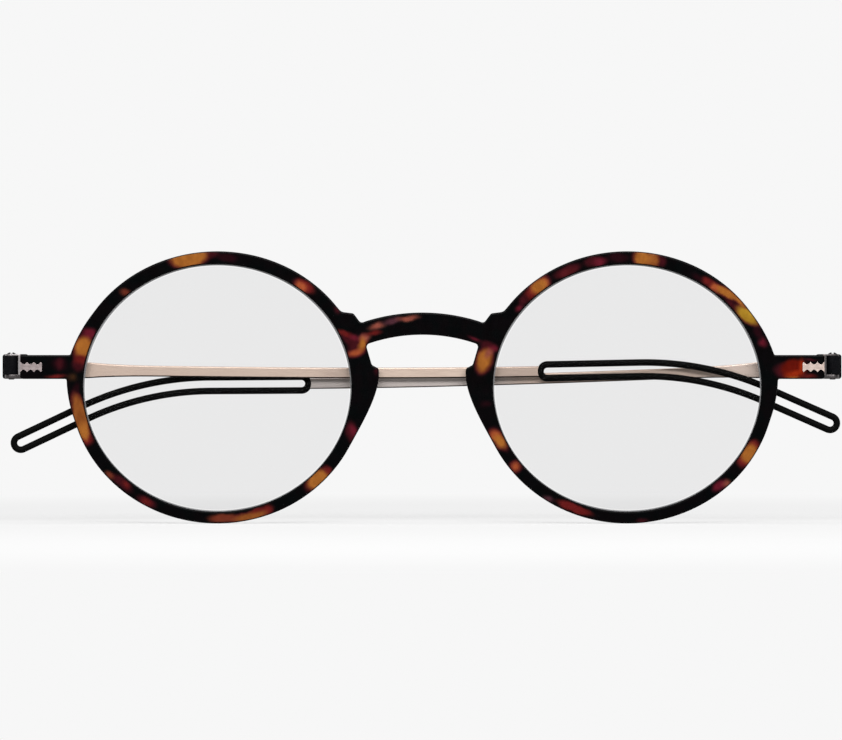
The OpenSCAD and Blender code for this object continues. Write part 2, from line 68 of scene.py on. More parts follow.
# Lenses and their openings
LENS_W, LENS_H, LENS_GAP, FULLNESS = 43.9, 40.5, 23.1, 0.01
LENS_X = (LENS_GAP + LENS_W) / 2
LENS_EDGE, FRONT_BULGE, BACK_BULGE = 1, 0.45, 0.2
GROOVE, LENS_PLAY = 0.45, 0.05

# The moulded front
FRONT_T = 2.2
RIM_TOP, RIM_BOTTOM, RIM_OUTER, RIM_INNER = 2.1, 1.9, 2.15, 2.15
EDGE_R, CHAMFER = 0.45, 0.22
RIM_X = LENS_X + (RIM_OUTER - RIM_INNER) / 2
RIM_Z = (RIM_TOP - RIM_BOTTOM) / 2
RIM_A = (LENS_W + RIM_OUTER + RIM_INNER) / 2
RIM_B = (LENS_H + RIM_TOP + RIM_BOTTOM) / 2
ARCH_TOP_R, ARCH_LOW_R, BRIDGE_TOP = 30.82, 27.18, 12.34
ARCH_Z = BRIDGE_TOP - ARCH_TOP_R
SHOULDER, SHELF = Vector((11.25, 12.2)), Vector((2, 0.25))
NOTCH_W, NOTCH_DIP = 1.2, 0.05
NOSE_PEAK, NOSE_RUN_OUT, NOSE_SWELL, NOSE_FLAT = Vector((7.1, 2.2)), 9.9, 4.5, 3.5
BROW, DENT, BROW_R = Vector((0, 0.97)), Vector((1.15, 1.57)), 0.5
CROOK_W, BLEND_R = 2.13, 0.6
LUG_H, LUG_Z, LUG_CORNER_R, LUG_BLEND_R = 3.92, 3.43, 0.5, 0.3
SWELL, SWELL_L, RIM_LEAD = 0.58, 7, math.radians(3)
LUG_TOP, LUG_LOW = LUG_Z + LUG_H / 2, LUG_Z - LUG_H / 2

# Hinges
HINGE_X = 67.2
AXIS_Y = {-1: 1.17, 1: 2.57}
KNUCKLE_HALF, RUN_GAP = 1.12, 0.05
WEB_IN, WEB_T = 1.17, 0.33
LUG_END = HINGE_X - WEB_IN - WEB_T
FORK_LOW, FORK_TOP, GAP_LOW, GAP_TOP = 1.49, 5.51, 2.17, 5.26
EAR_HALF, PLATE_SINK = 1.07, 0.05
TANG_L, TANG_H, TANG_BITE, TANG_PITCH, TANG_T, TANG_PLAY = 3.55, 1.7, 0.42, 1.12, 0.4, 0.03
SCREW_R, SCREW_PLAY, HEAD_R, HEAD_H = 0.5, 0.03, 0.81, 0.36
SLOT_W, SLOT_REACH, SLOT_DEPTH, SCREW_STUB, TIP_CHAMFER = 0.4, 1.2, 0.26, 0.12, 0.06
THREAD_DEPTH, THREAD_PITCH, THREAD_TURNS = 0.07, 0.2, 4
PLATE_EDGE, BLOCK_EDGE = 0.02, 0.08

# Temples
COLLAR_FRONT, COLLAR_BACK, COLLAR_Y, COLLAR_T = 2.66, 1.55, 1.18, 1.45
COLLAR_H, COLLAR_R, COLLAR_EDGE, BLOCK_SINK = 4.05, 0.45, 0.18, 0.4
ARM_OFFSET, TONGUE_H, TONGUE_PLAY = 1.88, 1.7, 0.01
STRIP_T, STRIP_H, ROOT_H, ROOT_L, TAPER_L, STRIP_EDGE = 0.6, 1.76, 2.6, 12.5, 15, 0.27
TEMPLE_Z, TURN_UP = 2.9, math.radians(2)
LEAN = {-1: math.radians(0.8), 1: math.radians(2.35)}
# The strip ends at this share of the loop's radius before the middle of the loop's near end
STRIP_END = 0.95
COAT_D, LOOP_R, LOOP_STRAIGHT = 1.1, 1.125, 15
BEND_R, BEND_ANGLE, TIP_STRAIGHT = 49, math.radians(25), 11.5
# How far each folded temple reaches past the other hinge's axis, and where its loop then starts
REACH = {-1: 1.1, 1: 0.42}
LOOP_L = LOOP_STRAIGHT + BEND_R * math.sin(BEND_ANGLE) + TIP_STRAIGHT * math.cos(BEND_ANGLE)
LOOP_START = {side: 2 * HINGE_X + REACH[side] - LOOP_L - LOOP_R - COAT_D / 2 for side in REACH}


# Curves in a plane

def arc(centre, radius, start, end, steps):
    """Points of an arc about a centre, from one angle to another"""
    turns = [start + (end - start) * i / steps for i in range(steps + 1)]
    return [centre + radius * Vector((math.cos(t), math.sin(t))) for t in turns]


def curve(p, q, r, s, steps):
    """Points of a cubic curve with end points p and s, and handles q and r"""
    shares = [i / steps for i in range(steps + 1)]
    return [(1 - t) ** 3 * p + 3 * (1 - t) ** 2 * t * q + 3 * (1 - t) * t * t * r + t ** 3 * s
            for t in shares]


def fillet(before, corner, after, radius, steps=7):
    """Points of the rounding of a corner between two straight edges"""
    u = (before - corner).normalized()
    v = (after - corner).normalized()
    half = u.angle(v) / 2
    middle = corner + (u + v).normalized() * radius / math.sin(half)
    first = corner + u * radius / math.tan(half) - middle
    last = corner + v * radius / math.tan(half) - middle
    start = math.atan2(first.y, first.x)
    sweep = math.remainder(math.atan2(last.y, last.x) - start, 2 * math.pi)
    return arc(middle, radius, start, start + sweep, steps)


# Shapes

def ring(x, y, z, radius_x, radius_z):
    """An upright ellipse of edges about (x, z) at depth y, as a new shape"""
    bm = bmesh.new()
    turn = Matrix.Rotation(math.pi / 2, 4, "X")
    place = Matrix.Translation((x, y, z)) @ Matrix.Diagonal((radius_x, 1, radius_z, 1)) @ turn
    bmesh.ops.create_circle(bm, cap_ends=False, segments=OPENING_SIDES, radius=1, matrix=place)
    return bm


def picked(result, kind, key="geom"):
    """The parts of one kind, such as vertices, that an operator made"""
    return [part for part in result[key] if isinstance(part, kind)]


def closed(bm):
    """Merges doubled points and turns all faces outwards"""
    bmesh.ops.remove_doubles(bm, verts=bm.verts, dist=TINY)
    bmesh.ops.recalc_face_normals(bm, faces=bm.faces)
    return bm


def slab(points, reach, axis="y"):
    """A drawing pushed from one depth to another: upright along Y, or level along Z"""
    bm = bmesh.new()
    start, end = reach
    spots = [(p[0], start, p[1]) if axis == "y" else (p[0], p[1], start) for p in points]
    face = bm.faces.new([bm.verts.new(spot) for spot in spots])
    pushed = picked(bmesh.ops.extrude_face_region(bm, geom=[face]), bmesh.types.BMVert)
    push = (0, end - start, 0) if axis == "y" else (0, 0, end - start)
    bmesh.ops.translate(bm, verts=pushed, vec=push)
    return closed(bm)


def soften(bm, radius, segments=3, chosen=None):
    """Rounds the chosen edges, or all those that aren't nearly flat"""
    edges = [e for e in bm.edges if e.is_manifold and (chosen(e) if chosen
             else e.calc_face_angle(0) > EDGE_ANGLE)]
    bmesh.ops.bevel(bm, geom=edges, offset=radius, offset_type="OFFSET", segments=segments,
                    profile=0.5, affect="EDGES", material=-1, clamp_overlap=True)
    return bm


def as_object(bm, name):
    """Turns a shape into an object of the scene"""
    mesh = bpy.data.meshes.new(name)
    bm.to_mesh(mesh)
    bm.free()
    made = bpy.data.objects.new(name, mesh)
    bpy.context.scene.collection.objects.link(made)
    return made


def combined(bm, tools, operation="DIFFERENCE"):
    """The shape with each tool cut from it, or joined to it with UNION"""
    body = as_object(bm, "body")
    others = [as_object(tool, "tool") for tool in tools]
    for other in others:
        cut = body.modifiers.new("combine", "BOOLEAN")
        cut.object, cut.operation, cut.solver = other, operation, "EXACT"
    result = bmesh.new()
    result.from_object(body, bpy.context.evaluated_depsgraph_get())
    for used in [body] + others:
        mesh = used.data
        bpy.data.objects.remove(used)
        bpy.data.meshes.remove(mesh)
    return result


def at_hinge(side):
    """Moves a left-hand hinge part, drawn about its axis with +X to the nose, to its side"""
    mirror = Matrix.Scale(-1 if side > 0 else 1, 4, (1, 0, 0))
    return mirror @ Matrix.Translation((-HINGE_X, AXIS_Y[side], 0))


def piece(bm, name, body, node, finish, place=Matrix()):
    """Puts a finished shape in the frame: its body, the node it stands for and its finish"""
    bmesh.ops.transform(bm, matrix=TO_FRAME @ place, verts=bm.verts)
    bmesh.ops.recalc_face_normals(bm, faces=bm.faces)
    for face in bm.faces:
        face.smooth = True
    made = as_object(bm, name)
    made.data.set_sharp_from_angle(angle=SHARP_ANGLE)
    weigh = made.modifiers.new("even_shading", "WEIGHTED_NORMAL")
    weigh.keep_sharp = True
    made.data.materials.append(finish.material)
    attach(made, body)
    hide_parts(node)
    return made


# Finishes

class Value:
    """A number in a node tree that ordinary sums can be written with"""

    def __init__(self, tree, socket):
        self.tree, self.socket = tree, socket

    def sum(self, operation, *numbers):
        return self.tree.node("Math", {"operation": operation}, dict(enumerate(numbers)))

    def __add__(self, other):
        return self.sum("ADD", self, other)

    def __sub__(self, other):
        return self.sum("SUBTRACT", self, other)

    def __rsub__(self, other):
        return self.sum("SUBTRACT", other, self)

    def __mul__(self, other):
        return self.sum("MULTIPLY", self, other)

    __radd__ = __add__
    __rmul__ = __mul__


class Tree:
    """The nodes of a material or of the world"""

    def __init__(self, owner):
        owner.use_nodes = True
        self.nodes = owner.node_tree.nodes
        self.links = owner.node_tree.links
        self.nodes.clear()

    def node(self, kind, settings=None, sockets=None, out=0):
        """Adds a node: its settings first, then its sockets. Returns one of its outputs."""
        made = self.nodes.new("ShaderNode" + kind)
        for name, value in (settings or {}).items():
            setattr(made, name, value)
        for name, value in (sockets or {}).items():
            if isinstance(value, Value):
                self.links.new(value.socket, made.inputs[name])
            else:
                made.inputs[name].default_value = value
        return Value(self, made.outputs[out]) if made.outputs else None

    def ramp(self, value, low, high, to_low=0, to_high=1):
        """A smooth step of a value between two limits"""
        sockets = {"Value": value, 1: low, 2: high, 3: to_low, 4: to_high}
        return self.node("MapRange", {"interpolation_type": "SMOOTHSTEP"}, sockets)

    def vector(self, operation, *vectors, out=0):
        return self.node("VectorMath", {"operation": operation}, dict(enumerate(vectors)), out)

    def ray(self, kind):
        """1 for rays of one kind, such as those off gloss"""
        return self.node("LightPath", out=f"Is {kind} Ray")

    def seen(self):
        """1 for rays from the camera, straight or through glass"""
        camera = self.ray("Camera")
        return camera.sum("MAXIMUM", camera, self.ray("Transmission"))


class Finish(Tree):
    """A material made of nodes, and the record's slot that it belongs to"""

    def __init__(self, name, slot=None):
        self.material = bpy.data.materials.new(name)
        self.slot = slot
        super().__init__(self.material)

    def place(self):
        """The place on the object, in millimetres about the middle between the lenses"""
        spot = self.node("TexCoord", out="Object")
        moved = self.vector("SUBTRACT", spot, (0, FRONT_Y, LENS_Z))
        return self.node("VectorMath", {"operation": "SCALE"}, {0: moved, "Scale": 1 / MM})

    def noise(self, place, scale, detail=2, roughness=0.5):
        """Soft noise from 0 to 1, with its scale in waves to a millimetre"""
        sockets = {"Vector": place, "Scale": scale, "Detail": detail, "Roughness": roughness}
        return self.node("TexNoise", sockets=sockets, out="Fac")

    def mixed(self, mask, low, high):
        """One colour over another by a mask"""
        return self.node("Mix", {"data_type": "RGBA"}, {0: mask, 6: low, 7: high}, out=2)

    def bump(self, height, depth, strength=1):
        """Relief of a depth in millimetres"""
        sockets = {"Height": height, "Distance": depth * MM, "Strength": strength}
        return self.node("Bump", sockets=sockets)

    def surface(self, **sockets):
        """Ends the finish in one shader"""
        named = {name.replace("_", " "): value for name, value in sockets.items()}
        shader = self.node("BsdfPrincipled", sockets=named)
        self.node("OutputMaterial", sockets={"Surface": shader})
        return self


# The power that turns a colour as seen on screen into an amount of light
GAMMA = 2.2


def shade(red, green, blue):
    """A colour as seen on screen, from 0 to 255, for blends that are made as the eye sees them"""
    return (red / 255, green / 255, blue / 255, 1)


def rgb(red, green, blue):
    """A colour as seen on screen, from 0 to 255, as the linear colour that a shader takes"""
    linear = [(c / 255 / 12.92) if c < 11 else ((c / 255 + 0.055) / 1.055) ** 2.4
              for c in (red, green, blue)]
    return (*linear, 1)


AMBER = shade(160, 98, 44)
HONEY = shade(164, 126, 42)
ORANGE = shade(164, 82, 50)
BROWN = shade(138, 80, 40)
SIENNA = shade(110, 52, 38)
SALMON = shade(140, 76, 64)
RUST = shade(140, 44, 20)
EMBER = shade(96, 24, 15)
RED = shade(100, 32, 31)
WINE = shade(96, 29, 42)
GARNET = shade(80, 28, 32)
MAUVE = shade(78, 46, 54)
MAROON = shade(62, 22, 28)
UMBER = shade(60, 40, 26)
DUSK = shade(38, 15, 21)

# Patches along the rims: side, angle on the rim in degrees, half the length along it, skew in
# degrees, how far outwards from the rim's middle and half the width across it in millimetres,
# and colour. Angles run from the right over the top.
RIM_PATCHES = [
    (-1, 35, 0.7, 0, 0.9, 0.6, MAROON), (-1, 51, 1.7, 0, 0.1, 0.9, RED),
    (-1, 52.7, 1.2, 0, -0.4, 0.8, ORANGE), (-1, 86, 1.8, 0, 0, 0.8, DUSK),
    (-1, 92.5, 1.3, 0, 0.5, 0.6, MAROON), (-1, 101.4, 3.1, 0, 0.6, 1.9, AMBER),
    (-1, 131.5, 0.6, 25, -0.4, 0.9, SIENNA), (-1, 155.2, 1.0, 10, 0, 1.3, WINE),
    (-1, 162, 1.9, 0, 0, 1.6, AMBER), (-1, 169.5, 1.3, 0, 0, 1.2, MAROON),
    (-1, 167.3, 0.9, 0, 0, 1.2, RED), (-1, 180, 1.0, 0, 0, 0.6, DUSK),
    (-1, 203.6, 0.8, 0, 0, 1.1, RED), (-1, 193, 3.9, 0, -0.1, 1.2, BROWN),
    (-1, 199.2, 1.6, 0, 0.1, 0.9, AMBER), (-1, 227, 2.2, 0, -0.2, 0.9, MAROON),
    (-1, 221, 0.9, 15, 0.4, 0.6, SIENNA), (-1, 229, 0.8, 0, -0.4, 0.5, RED),
    (-1, 240, 1.8, 0, 0.1, 0.9, MAROON), (-1, 240, 0.9, 0, 0.1, 0.6, RED),
    (-1, 272.5, 2.7, 0, 0, 0.8, SIENNA), (-1, 291, 1.0, 0, 0, 0.9, RED),
    (-1, 283.5, 2.8, 0, 0.25, 0.75, BROWN), (-1, 287, 1.0, 0, -0.4, 0.4, RED),
    (-1, 315.5, 2.2, 0, 0, 1.4, AMBER), (-1, 321.5, 0.6, 0, 0.2, 0.8, RED),
    (-1, 340.5, 1.9, 25, 0.2, 1.0, MAROON), (-1, 341.5, 0.9, 25, 0.4, 0.6, WINE),
    (1, 20.2, 0.9, 0, 0.5, 0.7, WINE), (1, 24.5, 1.2, 0, 0.4, 0.7, DUSK),
    (1, 41.5, 1.5, 0, -0.6, 0.6, MAROON), (1, 33, 2.3, 14, 0.3, 0.95, HONEY),
    (1, 39.5, 1.3, 0, 0.75, 0.35, AMBER), (1, 46.3, 2.5, 12, 0.25, 0.7, AMBER),
    (1, 51.7, 0.9, 0, -0.3, 0.7, ORANGE), (1, 55.6, 1.1, 0, -0.1, 0.8, RED),
    (1, 60, 0.9, 0, -0.3, 0.6, DUSK), (1, 75.8, 0.8, 0, 0, 1.1, MAROON),
    (1, 79.6, 1.0, 0, 0, 1.5, BROWN), (1, 84, 1.4, 0, 0, 1.7, AMBER),
    (1, 93.5, 1.9, 0, 0, 0.9, DUSK), (1, 104, 1.6, 0, 0, 0.9, MAROON),
    (1, 101.3, 1.2, 0, -0.25, 0.7, WINE), (1, 115.5, 2.6, 0, -0.1, 0.9, MAROON),
    (1, 115.5, 1.6, 0, -0.3, 0.6, GARNET), (1, 125.9, 0.7, 0, 0, 0.9, ORANGE),
    (1, 133.5, 1.2, 0, -0.1, 1.0, RED), (1, 137.5, 0.9, 0, 0, 0.8, MAROON),
    (1, 128.8, 1.6, 0, 0, 1.2, AMBER), (1, 141.3, 0.8, -20, -0.4, 0.6, WINE),
    (1, 187, 0.5, 0, 0.2, 0.9, DUSK), (1, 201.2, 1.1, 10, 0.1, 0.9, ORANGE),
    (1, 204.6, 1.4, 15, -0.2, 0.9, AMBER), (1, 217.3, 0.8, 35, -0.1, 0.8, ORANGE),
    (1, 236.3, 1.0, 15, 0.5, 0.6, MAUVE), (1, 248, 3.3, 0, -0.1, 0.8, RED),
    (1, 276, 0.9, 0, 0.6, 0.5, MAROON), (1, 311, 1.5, 0, -0.2, 0.8, WINE),
    (1, 314, 0.7, 0, 0.3, 0.6, SALMON), (1, 325.2, 1.0, 0, -0.1, 1.0, RED),
    (1, 334.6, 0.9, 0, 0.1, 0.8, RED), (1, 330, 1.8, 0, 0, 1.2, AMBER),
]

# Patches on the bridge and the lugs: middle, half length and half width, turn in degrees, colour
FREE_PATCHES = [
    (-11.9, 8.0, 1.9, 1.0, -30, MAROON), (-11.2, 6.8, 1.0, 0.8, 0, MAROON),
    (-12.7, 8.9, 1.5, 0.5, -15, RED), (-11.1, 8.3, 0.9, 0.5, -10, WINE),
    (-9.4, 8.3, 1.0, 0.65, 20, SALMON), (-9.85, 7.1, 1.3, 0.7, 78, AMBER),
    (-10.9, 5.75, 1.1, 0.6, 12, ORANGE), (-7.9, 9.0, 1.3, 0.45, 5, RED),
    (-7.4, 10.1, 1.4, 0.6, 12, SALMON), (-4.9, 11.0, 1.7, 0.6, 12, MAUVE),
    (-2.3, 11.4, 1.8, 0.5, 5, SALMON), (8.6, 8.0, 1.0, 0.3, -20, WINE),
    (10.9, 6.9, 1.6, 0.8, -10, MAROON), (11.7, 6.4, 0.8, 0.6, -15, WINE),
    (10.1, 4.5, 2.0, 1.25, 75, AMBER), (10.9, 5.6, 0.9, 0.6, 60, SALMON),
    (-7.5, 2.7, 0.35, 0.6, 0, MAROON), (-59.2, 3.9, 1.3, 1.2, 0, DUSK),
    (-59.2, 4.0, 0.6, 1.0, 0, MAROON), (-59.8, 1.9, 1.7, 0.4, 3, RED),
    (-57.1, 1.8, 0.8, 0.7, 0, UMBER), (59.9, 2.9, 2.5, 1.5, 0, MAROON),
    (60.8, 3.2, 2.3, 1.7, 0, EMBER), (62.0, 3.5, 0.45, 1.4, 0, RUST),
    # The thin AMBER line at (60.5, 1.75) is a painted highlight along the right lug's bottom edge
    (60.6, 2.3, 1.5, 0.6, 12, RUST), (60.5, 1.75, 0.8, 0.16, 0, AMBER),
    (63.2, 2.0, 1.2, 0.4, 0, RED), (63.2, 4.7, 1.3, 0.3, 0, MAROON),
]

# In millimetres: how soft a patch's edge is, how far patches wander from true ellipses, how deep
# they go and over what depth from each face the patches fade into the painted shade of the edges
PATCH_SOFT, WANDER, PATCH_DEPTH, EDGE_SHADE_DEPTH = 0.45, 0.8, 12, 0.08
# How far a patch's glow reaches out, and how far in from its edge it is full, in soft edges
GLOW, FULL = 1.8, 1.5


def rim_patch(side, degrees, length, skew, outwards, width, colour):
    """A patch along a rim as middle, half length and width, turn and colour"""
    t = math.radians(degrees)
    a, b = (LENS_W + RIM_INNER) / 2 + outwards, (LENS_H + RIM_TOP) / 2 + outwards
    turn = math.atan2(b * math.cos(t), -a * math.sin(t)) + math.radians(skew)
    return (side * LENS_X + a * math.cos(t), b * math.sin(t), length, width,
            math.degrees(turn), colour)


def tortoise():
    """Dark moulded plastic with soft-edged amber and red patches and a satin surface, with painted
    shade on its rounded edges
    """
    f = Finish("tortoiseshell", "tortoise_front")
    place = f.place()
    wander = f.node("TexNoise", sockets={"Vector": place, "Scale": 0.45, "Detail": 2}, out="Color")
    wander = f.node("VectorMath", {"operation": "SCALE"},
                    {0: f.vector("SUBTRACT", wander, (0.5, 0.5, 0.5)), "Scale": WANDER})
    moved = f.vector("ADD", place, wander)
    cloud = f.noise(f.vector("MULTIPLY", place, (0.35, 0.35, 0.35)), 1, 2)
    base = f.mixed(f.ramp(cloud, 0.35, 0.6), shade(9, 12, 13), shade(14, 11, 13))

    # How near each patch is, from 1 in its middle to 0 where its glow ends
    patches = []
    for x, z, length, width, turn, tint in [rim_patch(*row) for row in RIM_PATCHES] + FREE_PATCHES:
        soft = PATCH_SOFT / (length * width) ** 0.5
        reach = 1 + GLOW * soft
        local = f.node("Mapping", {"vector_type": "TEXTURE"}, {
            "Vector": moved, "Location": (x, FRONT_T / 2, z),
            "Rotation": (0, -math.radians(turn), 0),
            "Scale": (length * reach, PATCH_DEPTH, width * reach)})
        near = f.node("TexGradient", {"gradient_type": "SPHERICAL"}, {"Vector": local}, out="Fac")
        patches.append((near, soft, reach, tint))
    # Every pale patch glows maroon under all the patches
    colour = base
    for near, soft, reach, tint in patches:
        if tint in (AMBER, HONEY, ORANGE, BROWN):
            colour = f.mixed(f.ramp(near, 0, 1 - 1 / reach), colour, MAROON)
    for near, soft, reach, tint in patches:
        start, end = 1 - (1 + soft) / reach, 1 - (1 - FULL * soft) / reach
        colour = f.mixed(f.ramp(near, start, end), colour, tint)
    # Painted shade on the edges: the patches show fully only on both faces, and on the roundings
    # and walls between them they fade to the dark base
    depth = f.node("SeparateXYZ", sockets={0: place}, out="Y")
    off = depth - FRONT_T / 2
    edge_shade_mask = f.ramp(off.sum("ABSOLUTE", off), FRONT_T / 2 - EDGE_SHADE_DEPTH, FRONT_T / 2, 0.25, 1)
    streak = f.noise(f.vector("MULTIPLY", moved, (0.7, 0.4, 0.5)), 1, 2)
    dim = f.mixed(f.ramp(streak, 0.3, 0.7), shade(226, 220, 218), shade(255, 255, 255))
    colour = f.node("Mix", {"data_type": "RGBA", "blend_type": "MULTIPLY"},
                    {0: 1.0, 6: f.mixed(edge_shade_mask, base, colour), 7: dim}, out=2)
    colour = f.node("Gamma", sockets={"Color": colour, "Gamma": GAMMA})
    rough = f.ramp(f.noise(place, 0.6, 3), 0.3, 0.7, 0.2, 0.27)
    relief = f.bump(f.noise(place, 2.5, 3), 0.01)
    return f.surface(Base_Color=colour, Roughness=rough, Normal=relief, Specular_IOR_Level=0.04)


# Where the lens's painted highlight ring starts and is full, and its painted grey ring,
# as shares of the opening
LENS_HIGHLIGHT_RING, LENS_RING = (0.98, 0.985), (0.988, 0.993)


def clear_lens():
    """Clear lens: each face lets most light through and mirrors a little. Near the opening's edge,
    inside the rim, a pale ring is a painted highlight and a grey ring is painted shade; both stand
    in for how its bevelled edge catches and bends light."""
    f = Finish("polished_lens", "clear_lens")
    place = f.place()
    see = f.node("BsdfTransparent", sockets={"Color": (0.938, 0.938, 0.939, 1)})
    smear = f.ramp(f.noise(place, 0.12, 3), 0.3, 0.75, 0.02, 0.05)
    gloss = f.node("BsdfPrincipled", sockets={"Base Color": (0.8, 0.8, 0.8, 1), "Metallic": 1,
                                              "Roughness": smear})
    mask = f.node("Fresnel", sockets={"IOR": 1.12})
    mix = f.node("MixShader", sockets={0: mask, 1: see, 2: gloss})
    # How far from the middle of its lens a point is, with 1 at the opening's edge
    across, up = (f.node("SeparateXYZ", sockets={0: place}, out=axis) for axis in "XZ")
    sideways = across.sum("ABSOLUTE", across) - LENS_X
    share_x = sideways * (2 / LENS_W)
    share_z = up * (2 / LENS_H)
    away = up.sum("SQRT", share_x * share_x + share_z * share_z)
    # The pale ring is a painted highlight and the grey ring painted shade, near the opening's edge
    pale = f.node("BsdfTransparent", sockets={"Color": (0.99, 0.99, 0.99, 1)})
    grey = f.node("BsdfPrincipled", sockets={"Base Color": rgb(128, 128, 130), "Roughness": 0.5})
    bevel = f.ramp(away, *LENS_HIGHLIGHT_RING)
    edge = f.ramp(away, *LENS_RING) * 0.7
    both = f.node("MixShader", sockets={0: bevel, 1: mix, 2: pale})
    whole = f.node("MixShader", sockets={0: edge, 1: both, 2: grey})
    f.node("OutputMaterial", sockets={"Surface": whole})
    return f


# How far the roughness varies each way, over how far one shade of steel turns into the next, and
# the painted shade where steel faces down, standing in for the dark surroundings it reflects
ROUGH_SPAN, TURN, PAINTED_UNDERSIDE_SHADE = 0.06, 0.05, rgb(30, 17, 12)


def brushed(name, slot, light, dark, grain, rough, places=(), under=(-0.1, -0.6)):
    """Satin steel with a fine grain. Places are (axis, from, to, colour): past these limits the
    steel has another shade. Where it faces down, by the limits of under, it is painted dark: a
    painted shade in place of the dark surroundings its underside reflects."""
    f = Finish(name, slot)
    place = f.place()
    lines = f.noise(f.vector("MULTIPLY", place, grain), 1, 4, 0.65)
    cloud = f.noise(f.vector("MULTIPLY", place, (0.12, 0.5, 0.5)), 1, 2)
    tint = f.mixed(f.ramp(cloud * 0.6 + lines * 0.4, 0.3, 0.7), dark, light)
    for axis, start, end, colour in places:
        along = f.node("SeparateXYZ", sockets={0: place}, out=axis)
        tint = f.mixed(f.ramp(along, start, end), tint, colour)
    facing = f.node("SeparateXYZ", sockets={0: f.node("NewGeometry", out="Normal")}, out="Z")
    # Painted shade: faces that point down are darkened
    tint = f.mixed(f.ramp(facing, *under), tint, PAINTED_UNDERSIDE_SHADE)
    return f.surface(Base_Color=tint, Metallic=1.0,
                     Roughness=f.ramp(lines, 0.25, 0.75, rough - ROUGH_SPAN, rough + ROUGH_SPAN),
                     Normal=f.bump(lines, 0.006))


def black(name, slot, colour, grain, depth, rough):
    """Matt black with a fine grain"""
    f = Finish(name, slot)
    place = f.place()
    grains = f.noise(place, grain, 3, 0.6)
    tint = f.mixed(f.ramp(grains, 0.3, 0.7), colour, tuple(2.2 * c for c in colour[:3]) + (1,))
    return f.surface(Base_Color=tint, Normal=f.bump(grains, depth), Specular_IOR_Level=0.03,
                     Roughness=f.ramp(grains, 0.3, 0.7, rough - ROUGH_SPAN, rough + ROUGH_SPAN))


TORTOISE = tortoise()
LENS = clear_lens()
# Painted light and shade on the hinge steel: past X = 1 the right hinge is painted lighter, beyond
# each lug the outer parts are painted darker, most on the right, and the lower ear is painted
# darker as shade. The screw heads above the fork are nearly black.
HINGE_STEEL = brushed(
    "hinge_steel", "hinge_steel", rgb(182, 168, 167), rgb(150, 138, 137), (1.2, 4, 4), 0.38, [
        ("X", -1, 1, rgb(208, 188, 178)),
        ("X", TURN - LUG_END, -TURN - LUG_END, rgb(150, 146, 146)),
        ("X", LUG_END - TURN, LUG_END + TURN, rgb(84, 80, 80)),
        ("Z", GAP_LOW + TURN, GAP_LOW - TURN, rgb(84, 80, 80)),
        ("Z", FORK_TOP, FORK_TOP + TURN, rgb(30, 28, 28))])
# Painted light and shade on the strips: the left strip is painted lighter past X = -18, at its root
# and behind the left lens, against the lens's shade, and its painted underside shade reaches
# further up; the right strip is painted lighter near its hinge and greyer where it lies behind the
# left strip, a painted shadow of that strip
STRIP_STEEL = {
    -1: brushed("left_strip_steel", "champagne_steel", rgb(189, 171, 158), rgb(175, 156, 144),
                (0.25, 7, 7), 0.48, [("X", -13, -18, rgb(199, 179, 165))], (-0.02, -0.3)),
    1: brushed("right_strip_steel", "champagne_steel", rgb(189, 171, 158), rgb(175, 156, 144),
               (0.25, 7, 7), 0.48, [("X", 40, 55, rgb(205, 188, 177)),
                                    ("X", 20, 8, rgb(168, 160, 156))])}
NYLON = black("black_nylon", "black_nylon", rgb(8, 8, 10), 5, 0.02, 0.45)
RUBBER = black("black_rubber", "black_rubber", rgb(4, 4, 4), 4, 0.02, 0.55)


# The front

def on_rim(angle):
    """A point of a rim's outer edge, which is broader above its middle than below and swells
    towards the lug"""
    full = math.cos(angle) * (1 + FULLNESS * math.sin(angle))
    z = RIM_Z + RIM_B * math.sin(angle)
    off = max(z - LUG_TOP, LUG_LOW - z)
    swell = SWELL * max(0, 1 - off / SWELL_L) if math.cos(angle) > 0 else 0
    return Vector((RIM_X + RIM_A * full + swell, z))


def rim_angle(z):
    return math.asin((z - RIM_Z) / RIM_B)


def on_arch(x, radius):
    return Vector((x, ARCH_Z + math.sqrt(radius * radius - x * x)))


